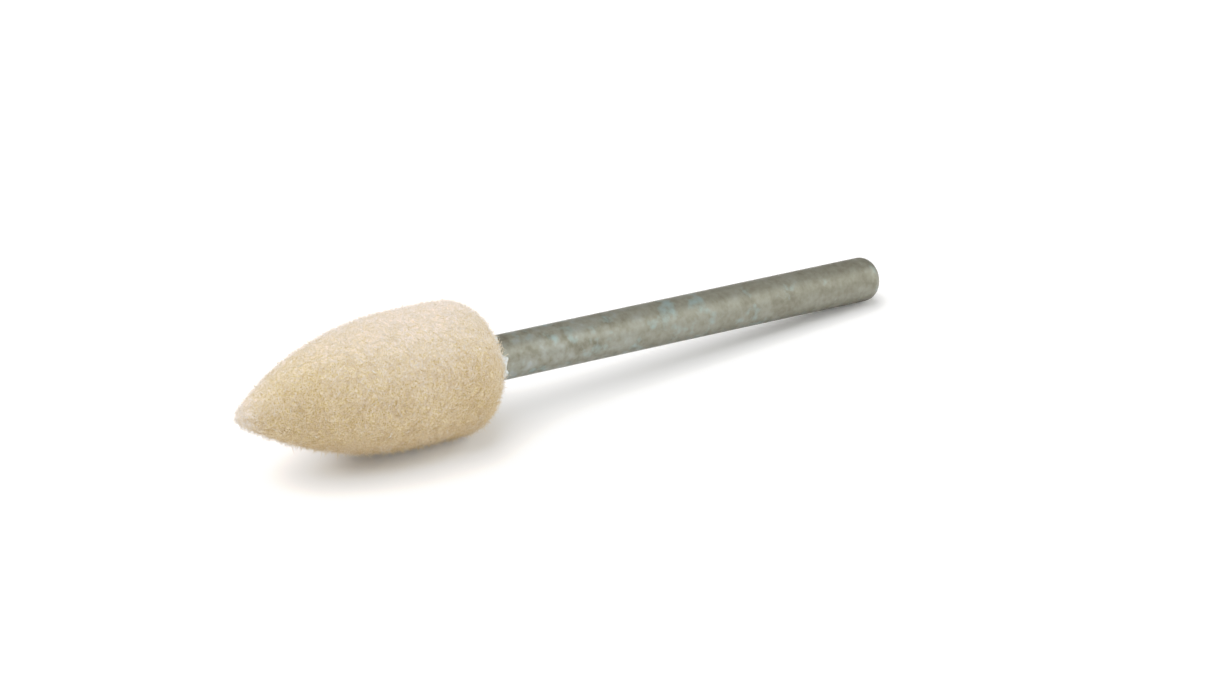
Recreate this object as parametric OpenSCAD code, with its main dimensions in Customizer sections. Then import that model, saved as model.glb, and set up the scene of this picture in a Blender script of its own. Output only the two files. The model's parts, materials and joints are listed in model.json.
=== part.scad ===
// Mounted felt polishing bob: a bullet of pressed wool felt glued onto a steel mandrel.
// The axis of rotation is Y. The tip points to -Y and the free end of the shank to +Y.
// The origin is on the axis at the back face of the felt, where the shank comes out.

/* [Felt bob] */
// Largest diameter of the felt
felt_d = 9.525; // [8.5:0.025:12]
// Length of the felt from its back face to its tip
felt_len = 19.05; // [18:0.05:24]
// Diameter of the flat in the middle of the back face
felt_back_d = 4.6; // [4.4:0.1:5.4]
// Distance from the back face to the full diameter
shoulder_len = 3.6; // [3:0.1:4.5]
// Distance from the back face to the start of the taper
taper_start = 6.3; // [5:0.1:8]
// Radius of the rounded tip
nose_r = 1.1; // [0.8:0.1:1.6]

/* [Mandrel] */
// Diameter of the shank that the collet grips
shank_d = 3.175; // [3.15:0.005:3.2]
// Length of shank standing out of the felt
shank_len = 32.4; // [25:0.1:40]
// Radius rounded onto the free end of the shank
shank_end_r = 1.1; // [0.5:0.1:1.4]
// Length of the anchor inside the felt
anchor_len = 12.05; // [10:0.05:13]
// Diameter over the crests of the anchor's straight knurl
knurl_crest_d = 2.8; // [2.6:0.05:2.85]
// Depth of the knurl's teeth
knurl_depth = 0.15; // [0.05:0.05:0.25]
// Number of teeth round the knurl
knurl_teeth = 24; // [16:2:32]
// Number of glue grooves turned across the knurl
groove_count = 3; // [1:1:4]
// Width of each glue groove
groove_w = 0.9; // [0.6:0.1:1.2]
// Diameter at the bottom of the glue grooves
groove_d = 2.2; // [2:0.1:2.3]
// Chamfer on the nose of the anchor
anchor_chamfer = 0.5; // [0.2:0.1:0.7]

/* [Adhesive] */
// Diameter of the blind bore in the felt that the adhesive fills
bore_d = 3.6; // [3.6:0.05:4]
// Depth of adhesive beyond the nose of the anchor
end_gap = 0.35; // [0.2:0.05:0.6]
// Width of the bead squeezed out round the shank
bead_w = 0.56; // [0.4:0.02:0.6]
// Height of the bead against the shank
bead_h = 0.18; // [0.1:0.02:0.18]

/* [Hidden] */
$fn = 96;
felt_r = felt_d / 2;
felt_back_r = felt_back_d / 2;
shank_r = shank_d / 2;
bore_r = bore_d / 2;
bore_depth = anchor_len + end_gap;
overshoot = 1;

// The shoulder is an arc tangent to the belly that meets the edge of the back flat.
shoulder_drop = felt_r - felt_back_r;
shoulder_r = (pow(shoulder_len, 2) + pow(shoulder_drop, 2)) / (2 * shoulder_drop);
shoulder_angle = asin(shoulder_len / shoulder_r);

// The taper is an arc tangent to the belly and to the ball of the tip.
nose_centre = felt_len - nose_r;
taper_len = nose_centre - taper_start;
taper_r = (pow(taper_len, 2) + pow(felt_r, 2) - pow(nose_r, 2)) / (2 * (felt_r - nose_r));
taper_angle = asin(taper_len / (taper_r - nose_r));

// The bead's outside is an arc centred in line with the surface of the shank.
bead_r = (pow(bead_w, 2) + pow(bead_h, 2)) / (2 * bead_h);

knurl_r = knurl_crest_d / 2;
knurl_root_r = knurl_r - knurl_depth;
knurl_step = 180 / knurl_teeth;
groove_pitch = anchor_len / (groove_count + 1);

// Points along an arc, from one angle to another in equal steps.
function arc(centre, r, from, to, steps) = [
    for (i = [0 : steps])
        let (angle = from + (to - from) * i / steps)
        centre + r * [cos(angle), sin(angle)]
];

// Turns a section drawn with radius along X and height along Y round the Y axis.
module turned() {
    rotate([-90, 0, 0])
        rotate_extrude()
            children();
}

// Stretch of the section from height low to height high, out to radius r.
module band(r, low, high) {
    translate([0, low])
        square([r, high - low]);
}

// Half section of the felt: flat back, round shoulder, belly, tapering arc and ball tip.
module felt_section() {
    polygon(concat(
        [[0, 0]],
        arc([felt_r - shoulder_r, -shoulder_len], shoulder_r, shoulder_angle, 0, 16),
        arc([felt_r - taper_r, -taper_start], taper_r, 0, -taper_angle, 20),
        arc([0, -nose_centre], nose_r, -taper_angle, -90, 8)
    ));
}

// Half section of the shank with its rounded free end.
module shank_section() {
    band(shank_r, 0, shank_len - shank_end_r);
    band(shank_r - shank_end_r, 0, shank_len);
    intersection() {
        translate([shank_r - shank_end_r, shank_len - shank_end_r])
            circle(shank_end_r);
        band(shank_r, 0, shank_len);
    }
}

// Straight knurl teeth round the anchor, as a star-shaped prism.
module knurl() {
    rotate([90, 0, 0])
        linear_extrude(anchor_len)
            polygon([
                for (i = [0 : 2 * knurl_teeth - 1])
                    let (r = i % 2 == 0 ? knurl_r : knurl_root_r)
                    r * [cos(i * knurl_step), sin(i * knurl_step)]
            ]);
}

// Envelope of the anchor: a bar with a chamfered nose.
module anchor_envelope() {
    turned()
        polygon([
            [0, 0],
            [knurl_r + overshoot, 0],
            [knurl_r + overshoot, overshoot - anchor_len + anchor_chamfer],
            [knurl_r - anchor_chamfer, -anchor_len],
            [0, -anchor_len]
        ]);
}

// Ring of waste that a glue groove takes out of the knurl.
module groove(height) {
    turned()
        translate([groove_d / 2, height - groove_w / 2])
            square([overshoot, groove_w]);
}

module anchor() {
    difference() {
        intersection() {
            knurl();
            anchor_envelope();
        }
        for (i = [1 : groove_count])
            groove(-i * groove_pitch);
    }
}

module felt_bob() {
    color([0.84, 0.75, 0.61])
        difference() {
            turned()
                felt_section();
            turned()
                band(bore_r, -bore_depth, overshoot);
        }
}

module mandrel() {
    color([0.58, 0.59, 0.56]) {
        turned()
            shank_section();
        anchor();
    }
}

module adhesive() {
    color([0.85, 0.89, 0.90]) {
        difference() {
            turned()
                band(bore_r, -bore_depth, 0);
            anchor();
        }
        turned()
            difference() {
                intersection() {
                    translate([shank_r, bead_h - bead_r])
                        circle(bead_r);
                    band(shank_r + bead_w, 0, bead_h);
                }
                band(shank_r, -overshoot, bead_h + overshoot);
            }
    }
}

felt_bob();
mandrel();
adhesive();
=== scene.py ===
import json
import math
from itertools import product

import bpy
import numpy as np
from mathutils import Matrix, Vector


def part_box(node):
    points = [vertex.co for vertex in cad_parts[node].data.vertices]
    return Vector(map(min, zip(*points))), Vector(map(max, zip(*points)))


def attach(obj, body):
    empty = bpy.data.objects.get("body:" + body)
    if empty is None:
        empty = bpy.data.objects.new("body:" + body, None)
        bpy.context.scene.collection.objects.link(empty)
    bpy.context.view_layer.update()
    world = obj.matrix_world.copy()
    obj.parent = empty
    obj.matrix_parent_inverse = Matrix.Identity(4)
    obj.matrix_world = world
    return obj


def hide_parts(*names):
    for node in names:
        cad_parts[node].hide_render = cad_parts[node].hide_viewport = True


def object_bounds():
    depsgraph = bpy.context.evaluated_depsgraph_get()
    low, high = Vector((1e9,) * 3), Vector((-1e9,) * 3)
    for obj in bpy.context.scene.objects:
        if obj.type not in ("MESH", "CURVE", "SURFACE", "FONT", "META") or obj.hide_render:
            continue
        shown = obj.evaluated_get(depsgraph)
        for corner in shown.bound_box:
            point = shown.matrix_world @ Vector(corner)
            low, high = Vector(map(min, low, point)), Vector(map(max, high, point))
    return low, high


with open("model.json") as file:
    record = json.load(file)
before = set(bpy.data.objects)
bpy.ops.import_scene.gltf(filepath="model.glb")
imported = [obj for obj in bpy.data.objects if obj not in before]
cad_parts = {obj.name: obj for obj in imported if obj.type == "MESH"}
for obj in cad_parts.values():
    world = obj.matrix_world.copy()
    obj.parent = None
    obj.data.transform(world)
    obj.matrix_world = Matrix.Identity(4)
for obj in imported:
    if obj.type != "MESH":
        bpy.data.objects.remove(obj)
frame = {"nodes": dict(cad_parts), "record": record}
cad_low, cad_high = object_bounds()

MM = 0.001
AXIS = np.array([0, 1, 0])

# ---------------------------------------------------------------- sizes from the frame

SAME = 0.01 * MM  # heights or radii closer than this are taken as equal
FELT_STEP = 0.085 * MM  # between neighbouring points of the felt's profile

felt_low, felt_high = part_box("felt_bob")
rod_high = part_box("mandrel")[1]
glue_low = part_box("adhesive")[0]
felt_length = felt_high.y - felt_low.y
shank_r = frame["record"]["mounts"][0]["dims"]["r_mm"] * MM


def turned_vertices(node):
    """(distance along the axis, distance from the axis) of every vertex of a turned CAD node."""
    co = np.array([v.co for v in frame["nodes"][node].data.vertices])
    return co[:, 1], np.hypot(co[:, 0], co[:, 2])


def bore_radius():
    """Radius of the felt's blind bore, which is the adhesive's at its inner end."""
    along, out = turned_vertices("adhesive")
    return float(out[along < glue_low.y + SAME].max())


bore_r = bore_radius()


def felt_outline():
    """The felt's profile from its tip to the edge of its back flat, as evenly spaced points."""
    along, out = turned_vertices("felt_bob")
    outer = (along < glue_low.y - SAME) | (out > bore_r + SAME)
    # One vertex stands for all those at the same height, to a micrometre.
    height, first = np.unique(np.round(along[outer] / MM, 3), return_index=True)
    along = height * MM
    out = out[outer][first]
    length = np.concatenate([[0], np.cumsum(np.hypot(np.diff(along), np.diff(out)))])
    even = np.linspace(0, length[-1], round(length[-1] / FELT_STEP) + 1)
    return np.interp(even, length, along), np.interp(even, length, out)


# ---------------------------------------------------------------- noise and mesh helpers

NOISE_CELLS = 48  # the noise repeats after this many of its features


def noise(points, size, seed):
    """Smooth value noise from -1 to 1 at points, with features about size across."""
    grid = np.random.default_rng(seed).uniform(-1, 1, (NOISE_CELLS, NOISE_CELLS, NOISE_CELLS))
    place = points / size
    corner = np.floor(place).astype(int)
    part = place - corner
    part = part * part * (3 - 2 * part)
    total = np.zeros(len(points))
    for step in product((0, 1), repeat=3):
        weight = np.prod(np.where(step, part, 1 - part), axis=1)
        index = (corner + step) % NOISE_CELLS
        total += weight * grid[index[:, 0], index[:, 1], index[:, 2]]
    return total


def layered(points, layers):
    """A sum of noises, each given as its strength, the size of its features in mm, and its seed."""
    return sum(strength * noise(points, size * MM, seed) for strength, size, seed in layers)


def make_mesh(name, vertices, faces):
    """A new smooth-shaded object from arrays of vertices and faces."""
    mesh = bpy.data.meshes.new(name)
    mesh.from_pydata(vertices.tolist(), [], faces)
    mesh.polygons.foreach_set("use_smooth", [True] * len(mesh.polygons))
    mesh.validate()
    piece = bpy.data.objects.new(name, mesh)
    bpy.context.scene.collection.objects.link(piece)
    return piece


def add_tone(piece, values):
    """A value from 0 to 1 on each vertex, for the material to read."""
    tone = piece.data.attributes.new("tone", "FLOAT", "POINT")
    tone.data.foreach_set("value", np.clip(values, 0, 1).astype(np.float32))


def turned_points(along, out, sides):
    """Rings of points about the Y axis, as an array of rings by sides by 3."""
    angle = np.arange(sides) * 2 * math.pi / sides
    x = out[:, None] * np.cos(angle)
    z = out[:, None] * np.sin(angle)
    return np.stack([x, np.broadcast_to(along[:, None], x.shape), z], axis=2)


def ring_faces(rings, sides):
    """Quads between neighbouring rings of a turned mesh."""
    ring, side = np.meshgrid(np.arange(rings - 1), np.arange(sides), indexing="ij")
    here = ring * sides + side
    beside = ring * sides + (side + 1) % sides
    return np.stack([here, beside, beside + sides, here + sides], axis=2).reshape(-1, 4).tolist()


def outward(along, out):
    """Unit normals of a profile, as (along, out) parts."""
    run = np.gradient(along)
    rise = np.gradient(out)
    size = np.hypot(run, rise)
    return -rise / size, run / size


def any_angle(rng, count):
    """Random angles all the way round."""
    return rng.uniform(0, 2 * math.pi, count)


def about_axis(angle):
    """Unit vectors away from the Y axis at angles, and those along the turn there."""
    none = np.zeros(len(angle))
    away = np.stack([np.cos(angle), none, np.sin(angle)], axis=1)
    turning = np.stack([-np.sin(angle), none, np.cos(angle)], axis=1)
    return away, turning


# ---------------------------------------------------------------- felt

FELT_SIDES = 320
TIP_DROOP = 0.16 * MM  # how far the tip hangs below the axis
NOSE_HOOK = 0.20 * MM  # how much further the very nose does
PILE = 0.20 * MM  # depth of the pile of fibres on the felt's side
BACK_PILE = 0.38 * MM  # and on its back face
SHOULDER_FILL = 0.22 * MM  # how far the skin is filled out between the two
MOUTH = shank_r + 0.05 * MM  # radius at which the back face ends, just short of the shank
LIP = -0.6 * MM  # height below which the hole in the felt has its full width
RELIEF = [(0.040, 4.5, 1), (0.016, 1.7, 2), (0.008, 0.6, 3), (0.006, 0.2, 4)]  # strengths in mm

# The tone of the wool, from 0 to 1.
BASE_TONE = 0.37
WASH = [(0.09, 2.8, 31), (0.07, 0.9, 32)]  # cloudy unevenness
# Painted light and shade: the wool is paler up to the felt's top, whiter near the top and at the tip,
# and darker below.
SIDE_PAINTED_LIGHT = 0.28  # from the axis up to the felt's top, and as much darker below
TOP_PAINTED_HIGHLIGHT = 0.22  # and only near the top
TIP_PAINTED_HIGHLIGHT = 0.45
TIP_HIGHLIGHT_LENGTH = 1.8 * MM
SCUFFS = (2.2 * MM, 3.1 * MM, 4.3 * MM)  # faint dirty rings round the shoulder, from the back face
SCUFF_WIDTH = 0.14 * MM
SCUFF_DEPTH = 0.16
SCUFF_WANDER = [(0.12, 2.0, 33)]  # strength in mm
SCUFF_PATCHES = [(1.0, 1.5, 34)]


def skin_outline():
    """The profile of the felt's skin up to the shank, under the CAD outline by the depth of the pile."""
    along, out = felt_outline()
    flat = np.arange(out[-1] - FELT_STEP, MOUTH, -FELT_STEP)
    along = np.append(along, np.full(len(flat), felt_high.y))
    out = np.append(out, flat)
    normal_along, normal_out = outward(along, out)
    back = np.maximum(normal_along, 0)
    shoulder = 4 * (back * normal_out) ** 2
    return along - BACK_PILE * back, out - PILE * normal_out + SHOULDER_FILL * shoulder


def felt_relief(points):
    """How far the pressed felt's skin stands off its turned shape."""
    return MM * layered(points, RELIEF)


def droop(points):
    """Points of the felt bent down a little towards the tip, and more at the nose."""
    reach = np.clip(-points[:, 1] / felt_length, 0, 1)
    bent = points.copy()
    bent[:, 2] -= TIP_DROOP * reach**2 + NOSE_HOOK * reach**8
    return bent


def wool_tone_and_painted_light(points):
    """How pale the wool is at points, from 0 for golden to 1 for palest, with painted light and shade:
    paler up to the top and at the tip, darker below.
    """
    from_tip = points[:, 1] - felt_low.y
    tip = np.clip(1 - from_tip / TIP_HIGHLIGHT_LENGTH, 0, 1)
    wander = MM * layered(points, SCUFF_WANDER)
    scuff = np.zeros(len(points))
    for back in SCUFFS:
        scuff += np.exp(-(((points[:, 1] + back - wander) / SCUFF_WIDTH) ** 2))
    scuff *= np.clip(0.4 + layered(points, SCUFF_PATCHES), 0, 1)
    height = points[:, 2] / felt_high.z
    # Painted light and shade: paler towards the top, whiter near the top and at the tip, darker below.
    painted_light = SIDE_PAINTED_LIGHT * height + TOP_PAINTED_HIGHLIGHT * np.clip(height, 0, 1) ** 8 + TIP_PAINTED_HIGHLIGHT * tip
    return BASE_TONE + layered(points, WASH) + painted_light - SCUFF_DEPTH * scuff


def build_felt():
    """The felt's skin with its blind bore, closed at the tip and at the bore's floor."""
    along, out = skin_outline()
    skin = turned_points(along, out, FELT_SIDES).reshape(-1, 3)
    normal = turned_points(*outward(along, out), FELT_SIDES).reshape(-1, 3)
    skin = skin + normal * felt_relief(skin)[:, None]
    skin = skin[FELT_SIDES:]  # the first ring has no width: one vertex takes its place
    bore = turned_points(np.array([LIP, glue_low.y]), np.full(2, bore_r), FELT_SIDES).reshape(-1, 3)
    points = np.concatenate([skin, bore])
    faces = ring_faces(len(points) // FELT_SIDES, FELT_SIDES)
    tip = len(points)
    bottom = tip + 1
    last = tip - FELT_SIDES
    points = np.concatenate([points, [[0, felt_low.y, 0], [0, glue_low.y, 0]]])
    for side in range(FELT_SIDES):
        beside = (side + 1) % FELT_SIDES
        faces.append((tip, beside, side))
        faces.append((bottom, last + side, last + beside))
    piece = make_mesh("felt_bob_pressed", droop(points), faces)
    # The skin's tone carries the painted light and shade, as well as the wool's own uneven tone and
    # scuffs.
    add_tone(piece, wool_tone_and_painted_light(points))
    return piece


# ---------------------------------------------------------------- wool fibres

FIBRE_CORNERS = 3  # sides of a fibre's tube
ROOT_DEPTH = 0.01 * MM  # how far a raised fibre's lower end is under the skin


def felt_seats(rng, count, low, high):
    """Random even places on the felt's skin between two heights: points, normals and two tangents."""
    along, out = skin_outline()
    inside = (along >= low) & (along <= high)
    along = along[inside]
    out = out[inside]
    normal_along, normal_out = outward(along, out)
    share = np.cumsum(out) / out.sum()
    rank = np.arange(len(along))
    place = np.interp(rng.random(count), share, rank)
    away, turning = about_axis(any_angle(rng, count))
    points = away * np.interp(place, rank, out)[:, None]
    points += AXIS * np.interp(place, rank, along)[:, None]
    normals = away * np.interp(place, rank, normal_out)[:, None]
    normals += AXIS * np.interp(place, rank, normal_along)[:, None]
    normals /= np.linalg.norm(normals, axis=1)[:, None]
    points = points + normals * felt_relief(points)[:, None]
    return points, normals, turning, np.cross(turning, normals)


def skin_area(low, high):
    """Area of the felt's skin between two heights."""
    along, out = skin_outline()
    inside = (along >= low) & (along <= high)
    return 2 * math.pi * out[inside].sum() * FELT_STEP


def fibre_lengths(rng, count, length):
    """Fibre lengths, a few much longer than the rest, as a column."""
    return length * np.exp(rng.normal(0, 0.35, count))[:, None]


def matted(rng, count, length, lift, bend):
    """Paths of fibres that lie on the felt, as ahead, across and up for each knot."""
    t = np.linspace(-0.5, 0.5, 5)[None, :]
    size = fibre_lengths(rng, count, length)
    curl = bend * rng.normal(0, 1, count)[:, None]
    wave = 0.3 * bend * rng.normal(0, 1, count)[:, None]
    height = lift * rng.uniform(0.2, 1, count)[:, None]
    across = size * (curl * (t * t - 0.25) + wave * np.sin(6 * t))
    up = height * (1 - 4.6 * t * t)  # which tucks both ends in
    return size * t, across, up


def raised(rng, count, length, steep, bend):
    """Paths of fibres that stand out of the felt from one end, as ahead, across and up for each knot."""
    t = np.linspace(0, 1, 3)[None, :]
    size = fibre_lengths(rng, count, length)
    slope = rng.uniform(0.15, steep, count)[:, None]
    sag = rng.uniform(0.2, 0.7, count)[:, None]
    curl = bend * rng.normal(0, 1, count)[:, None]
    up = size * np.sin(slope) * (t - 0.5 * sag * t * t) - ROOT_DEPTH
    return size * t * np.cos(slope), size * curl * t * t, up


def build_fibres(name, seats, path, heading, rng, thickness, tone, spread=0.35):
    """Wool fibres as thin three-sided tubes that follow a path from each seat in its heading."""
    points, normals, side, lengthwise = seats
    ahead, across, up = path
    count, knots = ahead.shape
    heading = heading[:, None]
    forward = side * np.cos(heading) + lengthwise * np.sin(heading)
    sideways = np.cross(normals, forward)
    spine = points[:, None, :] + forward[:, None, :] * ahead[:, :, None]
    spine = spine + sideways[:, None, :] * across[:, :, None] + normals[:, None, :] * up[:, :, None]
    tangent = np.gradient(spine, axis=1)
    tangent /= np.linalg.norm(tangent, axis=2)[:, :, None]
    left = np.cross(normals[:, None, :], tangent)
    left /= np.maximum(np.linalg.norm(left, axis=2)[:, :, None], 1e-9)
    top = np.cross(tangent, left)
    girth = (thickness * np.exp(rng.normal(0, spread, count)))[:, None, None] / 2
    taper = (1 - 0.7 * np.abs(np.linspace(-1, 1, knots)) ** 3)[None, :, None]
    rims = []
    for corner in range(FIBRE_CORNERS):
        angle = 2 * math.pi * corner / FIBRE_CORNERS + math.pi / 2
        rims.append(spine + (left * math.cos(angle) + top * math.sin(angle)) * girth * taper)
    vertices = droop(np.stack(rims, axis=2).reshape(-1, 3))
    first = np.arange(count)[:, None, None] * FIBRE_CORNERS * knots
    quads = (np.array(ring_faces(knots, FIBRE_CORNERS))[None] + first).reshape(-1, 4).tolist()
    last = FIBRE_CORNERS * (knots - 1)
    caps = (np.array([(0, 2, 1), (last, last + 1, last + 2)])[None] + first).reshape(-1, 3).tolist()
    piece = make_mesh(name, vertices, quads + caps)
    add_tone(piece, np.repeat(tone, FIBRE_CORNERS * knots))
    return piece


# ---------------------------------------------------------------- glue and strays at the shank's root

COLLAR_SIDES = 240
COLLAR_STEPS = 12
COLLAR_HEIGHT = 0.68 * MM  # how far the glue climbs the shank from the CAD's back face
COLLAR_WIDTH = 0.30 * MM  # its thickness at its root
COLLAR_FILM = 0.03 * MM  # its thickness at its top
COLLAR_CURVE = 2.0  # how hollow its slope is
COLLAR_ROOT = -0.12 * MM - BACK_PILE  # height of its root, inside the felt
COLLAR_OVERLAP = 0.05 * MM  # how far its inside is sunk in the shank
GLUE_GAP = 0.01 * MM  # between the sleeve of glue and the bore
HEIGHT_WAVER = [(0.40, 1.1, 51), (0.45, 0.35, 52)]  # shares of the height
WIDTH_WAVER = [(0.60, 0.8, 53)]  # share of the width
CRUST = [(0.055, 0.30, 54), (0.045, 0.13, 55)]  # strengths in mm
CRUST_THICKNESS = 0.02 * MM


def build_glue_collar():
    """The sleeve of glue in the felt's bore, with a crusty fillet from its mouth up the shank."""
    turn = np.arange(COLLAR_SIDES) * 2 * math.pi / COLLAR_SIDES

    def ring(out, along):
        level_with = np.broadcast_to(along, turn.shape)
        return np.stack([out * np.cos(turn), level_with, out * np.sin(turn)], axis=1)

    rim = ring(shank_r, 0.0)
    height = COLLAR_HEIGHT * (1 + layered(rim, HEIGHT_WAVER))
    width = COLLAR_WIDTH * (1 + layered(rim, WIDTH_WAVER))
    bottom = glue_low.y + GLUE_GAP
    rings = [ring(bore_r - GLUE_GAP, bottom), ring(bore_r - GLUE_GAP, LIP - GLUE_GAP)]
    for climb in np.linspace(0, 1, COLLAR_STEPS):
        along = COLLAR_ROOT + (height - COLLAR_ROOT) * climb
        out = shank_r + COLLAR_FILM + width * (1 - climb) ** COLLAR_CURVE
        crust = MM * layered(ring(out, along), CRUST) + CRUST_THICKNESS
        out = np.maximum(out + crust * (1 - climb**6), shank_r + 0.2 * COLLAR_FILM)
        rings.append(ring(out, along))
    rings.append(ring(shank_r - COLLAR_OVERLAP, height))
    rings.append(ring(shank_r - COLLAR_OVERLAP, bottom))
    count = len(rings)
    # The last ring joins the first, round the sleeve's lower end.
    faces = np.array(ring_faces(count + 1, COLLAR_SIDES)) % (count * COLLAR_SIDES)
    return make_mesh("glue_collar", np.concatenate(rings), faces.tolist())


STRAYS = 2200
STRAY_SEED = 300
STRAY_PLACES = (0.03 * MM, 0.95 * MM)  # from the film of glue on the shank
STRAY_LEAN = (-0.1, 0.7)  # towards the shank and away from it
STRAY_TONES = (0.0, 0.8)
COARSE_SHARE = 0.08  # of the strays
COARSE_THICKNESS = 0.036 * MM
FINE_THICKNESS = 0.021 * MM


def build_strays():
    """Loose fibres that stand out of the felt's back face and the glue, round the root of the shank."""
    rng = np.random.default_rng(STRAY_SEED)
    angle = any_angle(rng, STRAYS)
    stand_off = rng.uniform(*STRAY_PLACES, STRAYS)
    climb = 1 - np.clip(stand_off / COLLAR_WIDTH, 0, 1) ** (1 / COLLAR_CURVE)
    lean = rng.uniform(*STRAY_LEAN, STRAYS)
    away, turning = about_axis(angle)
    points = away * (shank_r + COLLAR_FILM + stand_off)[:, None]
    points += AXIS * ((COLLAR_HEIGHT + BACK_PILE) * climb - BACK_PILE)[:, None]
    normals = away * lean[:, None] + AXIS
    normals /= np.linalg.norm(normals, axis=1)[:, None]
    seats = points, normals, turning, np.cross(turning, normals)
    path = raised(rng, STRAYS, length=0.44 * MM, steep=1.5, bend=0.4)
    thickness = np.where(rng.random(STRAYS) < COARSE_SHARE, COARSE_THICKNESS, FINE_THICKNESS)
    tone = rng.uniform(*STRAY_TONES, STRAYS)
    return build_fibres("felt_strays", seats, path, any_angle(rng, STRAYS), rng, thickness, tone)


# ---------------------------------------------------------------- shader helpers


def new_material(name):
    """A new material, its node tree and its Principled shader."""
    material = bpy.data.materials.new(name)
    material.use_nodes = True
    tree = material.node_tree
    return material, tree, tree.nodes["Principled BSDF"]


def node(tree, kind, inputs=None, **values):
    """A shader node with its properties and the inputs that are constants or links."""
    made = tree.nodes.new(kind)
    for key, value in values.items():
        setattr(made, key, value)
    for key, value in (inputs or {}).items():
        if isinstance(value, bpy.types.NodeSocket):
            tree.links.new(value, made.inputs[key])
        else:
            made.inputs[key].default_value = value
    return made


def maths(tree, operation, first, second):
    """The result of a Math node."""
    return node(tree, "ShaderNodeMath", {0: first, 1: second}, operation=operation).outputs[0]


def mapped(tree, value, start=0.0, end=1.0, low=0.0, high=1.0):
    """A value's way from start to end, as a way from low to high that stops at both."""
    inputs = {"Value": value, "From Min": start, "From Max": end, "To Min": low, "To Max": high}
    return node(tree, "ShaderNodeMapRange", inputs).outputs["Result"]


def in_place(tree):
    """Where a point is on the object."""
    return node(tree, "ShaderNodeTexCoord").outputs["Object"]


def vertex_tone(tree):
    """The value that add_tone put on the mesh."""
    return node(tree, "ShaderNodeAttribute", attribute_name="tone").outputs["Fac"]


def cloud(tree, place, size, detail, seed=0.0):
    """Noise with features about size across."""
    inputs = {"Vector": place, "W": seed, "Scale": 1 / size, "Detail": detail}
    return node(tree, "ShaderNodeTexNoise", inputs, noise_dimensions="4D").outputs["Fac"]


def ramp(tree, value, stops):
    """A colour ramp over value through (position, colour) stops."""
    made = node(tree, "ShaderNodeValToRGB", {"Fac": value})
    steps = made.color_ramp.elements
    while len(steps) < len(stops):
        steps.new(0.5)
    for step, (position, colour) in zip(steps, stops):
        step.position = position
        step.color = (*colour, 1)
    return made.outputs["Color"]


def blend(tree, share, first, second):
    """A mix of two colours, all first where share is 0."""
    made = node(tree, "ShaderNodeMix", data_type="RGBA")
    colours = [socket for socket in made.inputs if socket.type == "RGBA"]
    for socket, value in zip([made.inputs[0], *colours], (share, first, second)):
        if isinstance(value, bpy.types.NodeSocket):
            tree.links.new(value, socket)
        else:
            socket.default_value = (*value, 1)
    return [socket for socket in made.outputs if socket.type == "RGBA"][0]


def roughen(tree, surface, height, strength, distance):
    """Bump the surface by height."""
    bump = node(tree, "ShaderNodeBump", {"Height": height, "Strength": strength, "Distance": distance})
    tree.links.new(bump.outputs["Normal"], surface.inputs["Normal"])


# ---------------------------------------------------------------- materials


def felt_material():
    """The pressed wool under the fibres, pitted and matt, with painted shade in its pits."""
    material, tree, surface = new_material("pressed_wool")
    place = in_place(tree)
    tone = vertex_tone(tree)
    pits_and_painted_shade = cloud(tree, place, size=0.11 * MM, detail=2.0)
    # The gold darkens where the pits sink: painted shade in the hollows, over the wool's own golden
    # colour. The tone brings its painted light and shade too.
    shade = maths(tree, "ADD", maths(tree, "MULTIPLY", pits_and_painted_shade, 3.0), maths(tree, "SUBTRACT", tone, 1.5))
    colour = ramp(tree, shade, [
        (0.00, (0.42, 0.28, 0.10)),
        (0.35, (0.665, 0.505, 0.25)),
        (0.65, (0.78, 0.593, 0.367)),
        (1.00, (0.835, 0.71, 0.617)),
    ])
    tree.links.new(colour, surface.inputs["Base Color"])
    surface.inputs["Roughness"].default_value = 0.95
    surface.inputs["Specular IOR Level"].default_value = 0.15
    surface.inputs["Sheen Weight"].default_value = 0.8
    surface.inputs["Sheen Roughness"].default_value = 0.5
    roughen(tree, surface, pits_and_painted_shade, strength=0.6, distance=0.04 * MM)
    return material


def fibre_material(name, stops, sheen):
    """Wool whose colour runs through stops from the darkest fibre to the palest."""
    material, tree, surface = new_material(name)
    place = in_place(tree)
    tone = vertex_tone(tree)
    patches = cloud(tree, place, size=0.12 * MM, detail=1.0)
    uneven = maths(tree, "MULTIPLY", maths(tree, "SUBTRACT", patches, 0.5), 0.5)
    colour = ramp(tree, maths(tree, "ADD", tone, uneven), stops)
    tree.links.new(colour, surface.inputs["Base Color"])
    surface.inputs["Roughness"].default_value = 0.8
    surface.inputs["Specular IOR Level"].default_value = 0.2
    surface.inputs["Sheen Weight"].default_value = sheen
    surface.inputs["Sheen Roughness"].default_value = 0.5
    return material


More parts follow.
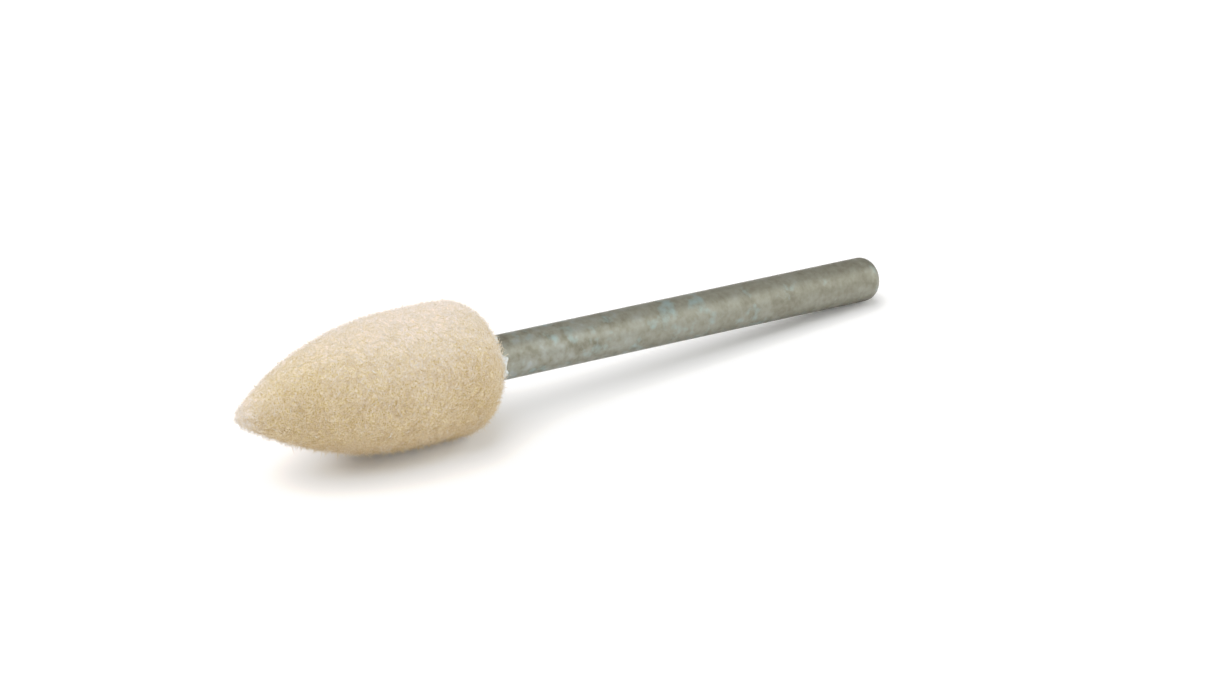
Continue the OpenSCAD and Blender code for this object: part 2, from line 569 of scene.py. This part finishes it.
def steel_material():
    """Dull drawn steel: mottled most near the felt, with blue-grey stains and fine scratches."""
    material, tree, surface = new_material("dull_steel")
    place = in_place(tree)
    along = node(tree, "ShaderNodeSeparateXYZ", {0: place}).outputs["Y"]
    stain = cloud(tree, place, size=1.0 * MM, detail=4.0)
    fleck = cloud(tree, place, size=0.30 * MM, detail=4.0, seed=4.0)
    flecked = maths(tree, "MULTIPLY", fleck, 0.35)
    # The steel is made darker from its root at the felt to its far end.
    darker_to_far_end = mapped(tree, along, start=0.0, end=rod_high.y, low=0.325, high=0.185)
    mottled = mapped(tree, along, start=2 * MM, end=14 * MM, low=1.7, high=0.65)
    shade = maths(tree, "MULTIPLY", maths(tree, "SUBTRACT", stain, 0.5), mottled)
    shade = maths(tree, "ADD", maths(tree, "ADD", shade, flecked), darker_to_far_end)
    grey = ramp(tree, shade, [
        (0.14, (0.110, 0.103, 0.076)),
        (0.30, (0.151, 0.146, 0.110)),
        (0.46, (0.191, 0.190, 0.151)),
        (0.62, (0.217, 0.225, 0.190)),
        (0.80, (0.248, 0.270, 0.248)),
    ])
    patches = maths(tree, "ADD", cloud(tree, place, size=1.1 * MM, detail=1.0, seed=5.0), flecked)
    fade = mapped(tree, along, start=10 * MM, end=26 * MM, low=0.0, high=0.08)
    share = mapped(tree, maths(tree, "SUBTRACT", patches, fade), start=0.70, end=0.92, low=0.0, high=0.8)
    colour = blend(tree, share, grey, (0.205, 0.276, 0.262))
    tree.links.new(colour, surface.inputs["Base Color"])
    surface.inputs["Metallic"].default_value = 0.8
    tree.links.new(mapped(tree, shade, low=0.56, high=0.38), surface.inputs["Roughness"])
    drawn = node(tree, "ShaderNodeMapping", {"Vector": place, "Scale": (1.0, 0.06, 1.0)})
    scratches = cloud(tree, drawn.outputs["Vector"], size=0.05 * MM, detail=2.0, seed=2.0)
    roughen(tree, surface, maths(tree, "ADD", scratches, fleck), strength=0.25, distance=0.01 * MM)
    return material


def glue_material():
    """Cloudy cured glue with a crusty surface."""
    material, tree, surface = new_material("cured_glue")
    crust = cloud(tree, in_place(tree), size=0.18 * MM, detail=3.0)
    colour = ramp(tree, crust, [
        (0.35, (0.34, 0.39, 0.38)),
        (0.50, (0.55, 0.61, 0.60)),
        (0.68, (0.84, 0.88, 0.87)),
    ])
    tree.links.new(colour, surface.inputs["Base Color"])
    surface.inputs["Roughness"].default_value = 0.5
    roughen(tree, surface, crust, strength=0.6, distance=0.04 * MM)
    return material


# ---------------------------------------------------------------- pieces


def finish_piece(piece, material):
    """Give a piece its material and its body."""
    piece.data.materials.append(material)
    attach(piece, "root")


felt = build_felt()
finish_piece(felt, felt_material())
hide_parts("felt_bob")

nap_wool = fibre_material("nap_wool", [
    (0.00, (0.54, 0.39, 0.17)),
    (0.45, (0.77, 0.59, 0.352)),
    (0.90, (0.84, 0.745, 0.657)),
], sheen=0.2)
fuzz_wool = fibre_material("fuzz_wool", [
    (0.00, (0.615, 0.453, 0.225)),
    (0.45, (0.815, 0.65, 0.427)),
    (0.90, (0.87, 0.80, 0.732)),
], sheen=0.4)
kemp_wool = fibre_material("kemp_wool", [
    (0.05, (0.10, 0.09, 0.07)),
    (0.16, (0.80, 0.76, 0.66)),
    (0.80, (0.95, 0.94, 0.90)),
], sheen=0.3)

NAP_DENSITY = 50 / MM**2
NAP_THICKNESS = 0.022 * MM
NAP_TONES = 0.32  # how much the tones of fibres side by side differ
FUZZ_DENSITY = 105 / MM**2
FUZZ_THICKNESS = 0.013 * MM
FUZZ_TONES = 0.28
KEMP_FIBRES = 220
KEMP_THICKNESS = 0.042 * MM
KEMP_SEED = 200
ZONE_SEED = 100
ZONE_NAMES = ["tip", "nose", "belly", "shoulder"]
ZONE_ENDS = [felt_low.y, -12.2 * MM, -8.1 * MM, -4.2 * MM, felt_high.y]
for number, zone in enumerate(ZONE_NAMES):
    low, high = ZONE_ENDS[number : number + 2]
    area = skin_area(low, high)
    rng = np.random.default_rng(ZONE_SEED + number)

    count = round(NAP_DENSITY * area)
    seats = felt_seats(rng, count, low, high)
    # The nap takes the wool's tone with its painted light and shade, and differs at random from fibre to
    # fibre.
    tone = wool_tone_and_painted_light(seats[0]) + rng.normal(0, NAP_TONES, count)
    path = matted(rng, count, length=0.46 * MM, lift=0.015 * MM, bend=0.26)
    heading = any_angle(rng, count)
    nap = build_fibres(f"felt_nap_{zone}", seats, path, heading, rng, NAP_THICKNESS, tone, spread=0.5)
    finish_piece(nap, nap_wool)

    count = round(FUZZ_DENSITY * area)
    seats = felt_seats(rng, count, low, high)
    # The fuzz takes the wool's tone with its painted light and shade, and differs at random from fibre
    # to fibre.
    tone = wool_tone_and_painted_light(seats[0]) + rng.normal(0, FUZZ_TONES, count)
    path = raised(rng, count, length=0.36 * MM, steep=1.4, bend=0.3)
    heading = any_angle(rng, count)
    fuzz = build_fibres(f"felt_fuzz_{zone}", seats, path, heading, rng, FUZZ_THICKNESS, tone)
    finish_piece(fuzz, fuzz_wool)

rng = np.random.default_rng(KEMP_SEED)
seats = felt_seats(rng, KEMP_FIBRES, felt_low.y, felt_high.y)
path = matted(rng, KEMP_FIBRES, length=0.34 * MM, lift=0.05 * MM, bend=0.3)
heading = any_angle(rng, KEMP_FIBRES)
tone = rng.random(KEMP_FIBRES)
kemp = build_fibres("felt_kemp", seats, path, heading, rng, KEMP_THICKNESS, tone)
finish_piece(kemp, kemp_wool)

collar = build_glue_collar()
finish_piece(collar, glue_material())
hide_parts("adhesive")
finish_piece(build_strays(), fuzz_wool)

frame["nodes"]["mandrel"].material_slots[0].material = steel_material()

# ---------------------------------------------------------------- table

PRESSED_PILE = 0.04 * MM  # what is left of the pile between the felt's belly and the table
TABLE_HALF = 3.0  # in metres, which is as good as endless here
TABLE_GLOW = 0.06
SETTLING_ROUNDS = 20  # a few would do


def resting_plane(along, out):
    """Slope about X of the plane that a felt profile and the shank's end touch, and a point of it."""
    end_along, end_out = turned_vertices("mandrel")
    slope = 0.0
    for _ in range(SETTLING_ROUNDS):
        normal = np.array([-math.sin(slope), math.cos(slope)])
        belly = np.argmin(normal[0] * along - normal[1] * out)
        heights = normal[0] * end_along - normal[1] * end_out
        heel = np.argmin(np.where(end_along > 0, heights, math.inf))
        slope = math.atan2(out[belly] - end_out[heel], end_along[heel] - along[belly])
    return slope, Vector((0, along[belly], -out[belly]))


def camera_sees(tree):
    """1 where the camera looks straight at a thing, 0 where it lights or is reflected in another."""
    return node(tree, "ShaderNodeLightPath").outputs["Is Camera Ray"]


def table_material():
    """A matt white table with a faint glow, which shows in its shadows and lights nothing."""
    material, tree, surface = new_material("white_table")
    surface.inputs["Base Color"].default_value = (0.96, 0.96, 0.96, 1)
    surface.inputs["Roughness"].default_value = 0.9
    surface.inputs["Emission Color"].default_value = (1, 1, 1, 1)
    glow = maths(tree, "MULTIPLY", camera_sees(tree), TABLE_GLOW)
    tree.links.new(glow, surface.inputs["Emission Strength"])
    return material


def build_floor():
    """The table's top, on which the felt's belly and the shank's end rest."""
    skin_along, skin_out = skin_outline()
    slope, touch = resting_plane(skin_along, skin_out + PRESSED_PILE)
    corners = [(x * TABLE_HALF, y * TABLE_HALF, 0) for x, y in ((-1, -1), (1, -1), (1, 1), (-1, 1))]
    mesh = bpy.data.meshes.new("floor")
    mesh.from_pydata(corners, [], [(0, 1, 2, 3)])
    floor = bpy.data.objects.new("floor", mesh)
    bpy.context.scene.collection.objects.link(floor)
    floor.matrix_world = Matrix.Translation(touch) @ Matrix.Rotation(slope, 4, "X")
    floor.data.materials.append(table_material())


# ---------------------------------------------------------------- camera, light and tone

VIEW_AZIMUTH = math.radians(55.4)
VIEW_ELEVATION = math.radians(26.7)
VIEW_DISTANCE = 280 * MM
VIEW_OFFSET = Vector((2.36 * MM, 0.20 * MM, 3.39 * MM))  # right, up and back, to frame as the photo does
VIEW_LENS = 122.9
VIEW_SENSOR = 36
ROOM_COLOUR = (1.0, 0.96, 0.91, 1)
ROOM_LIGHT = 0.255
BACKDROP_LIGHT = 2.0
WHITE_LEVEL = 2.6
TONES = [(0.35, 0.36), (0.6, 0.56), (0.8, 0.68), (1.0, 0.775), (1.2, 0.877), (1.43, 1.0)]

# The camera and the lights are set level with the plane that the plain CAD shape would rest on.
level = resting_plane(*felt_outline())[0]
level_up = Vector((0, -math.sin(level), math.cos(level)))


def looking(back, up):
    """Rotation whose local Z is back and whose local Y is as near up as can be."""
    right = up.cross(back).normalized()
    return Matrix((right, back.cross(right), back)).transposed().to_4x4()


def build_camera():
    """The camera at the photo's angle. Returns the direction to its right."""
    back = Vector((
        math.sin(VIEW_AZIMUTH) * math.cos(VIEW_ELEVATION),
        -math.cos(VIEW_AZIMUTH) * math.cos(VIEW_ELEVATION),
        math.sin(VIEW_ELEVATION),
    ))
    turn = looking(back, level_up)
    middle = (cad_low + cad_high) / 2
    data = bpy.data.cameras.new("camera")
    data.lens = VIEW_LENS
    data.sensor_width = VIEW_SENSOR
    data.clip_start = 0.01
    data.clip_end = 20
    camera = bpy.data.objects.new("camera", data)
    bpy.context.scene.collection.objects.link(camera)
    place = middle + turn.to_3x3() @ (VIEW_OFFSET + Vector((0, 0, VIEW_DISTANCE)))
    camera.matrix_world = Matrix.Translation(place) @ turn
    bpy.context.scene.camera = camera
    return turn.to_3x3().col[0].copy()


def sun(name, view_right, direction, angle, strength, colour):
    """A distant light that shines from direction, given as to the camera's right, up and back."""
    data = bpy.data.lights.new(name, "SUN")
    data.angle = math.radians(angle)
    data.energy = strength
    data.color = colour
    lamp = bpy.data.objects.new(name, data)
    bpy.context.scene.collection.objects.link(lamp)
    right, up, back = direction
    source = (view_right * right + level_up * up + view_right.cross(level_up) * back).normalized()
    not_along = Vector((0.01, 1, 0.02))  # any way that no lamp shines
    lamp.matrix_world = Matrix.Translation(source) @ looking(source, not_along)


def build_world():
    """A dim warm room behind a pure white backdrop."""
    world = bpy.data.worlds.new("studio")
    bpy.context.scene.world = world
    world.use_nodes = True
    tree = world.node_tree
    room = tree.nodes["Background"]
    room.inputs["Color"].default_value = ROOM_COLOUR
    room.inputs["Strength"].default_value = ROOM_LIGHT
    white = {"Color": (1, 1, 1, 1), "Strength": BACKDROP_LIGHT}
    backdrop = node(tree, "ShaderNodeBackground", white)
    seen = node(tree, "ShaderNodeMixShader", {
        0: camera_sees(tree), 1: room.outputs["Background"], 2: backdrop.outputs["Background"],
    })
    tree.links.new(seen.outputs["Shader"], tree.nodes["World Output"].inputs["Surface"])


def camera_response():
    """A nearly straight tone curve that clips the lit table to a clean white."""
    view = bpy.context.scene.view_settings
    view.view_transform = "Standard"
    view.use_curve_mapping = True
    curves = view.curve_mapping
    curves.white_level = [WHITE_LEVEL] * 3
    all_channels = curves.curves[3]
    for light, shown in TONES:
        all_channels.points.new(light / WHITE_LEVEL, shown)
    curves.update()


build_floor()
view_right = build_camera()
build_world()
sun("soft_top", view_right, (-0.43, 0.87, -0.06), angle=80, strength=5.25, colour=(0.99, 0.985, 0.99))
sun("soft_side", view_right, (0.93, 0.36, -0.02), angle=60, strength=2.5, colour=(0.985, 1.0, 0.98))
camera_response()
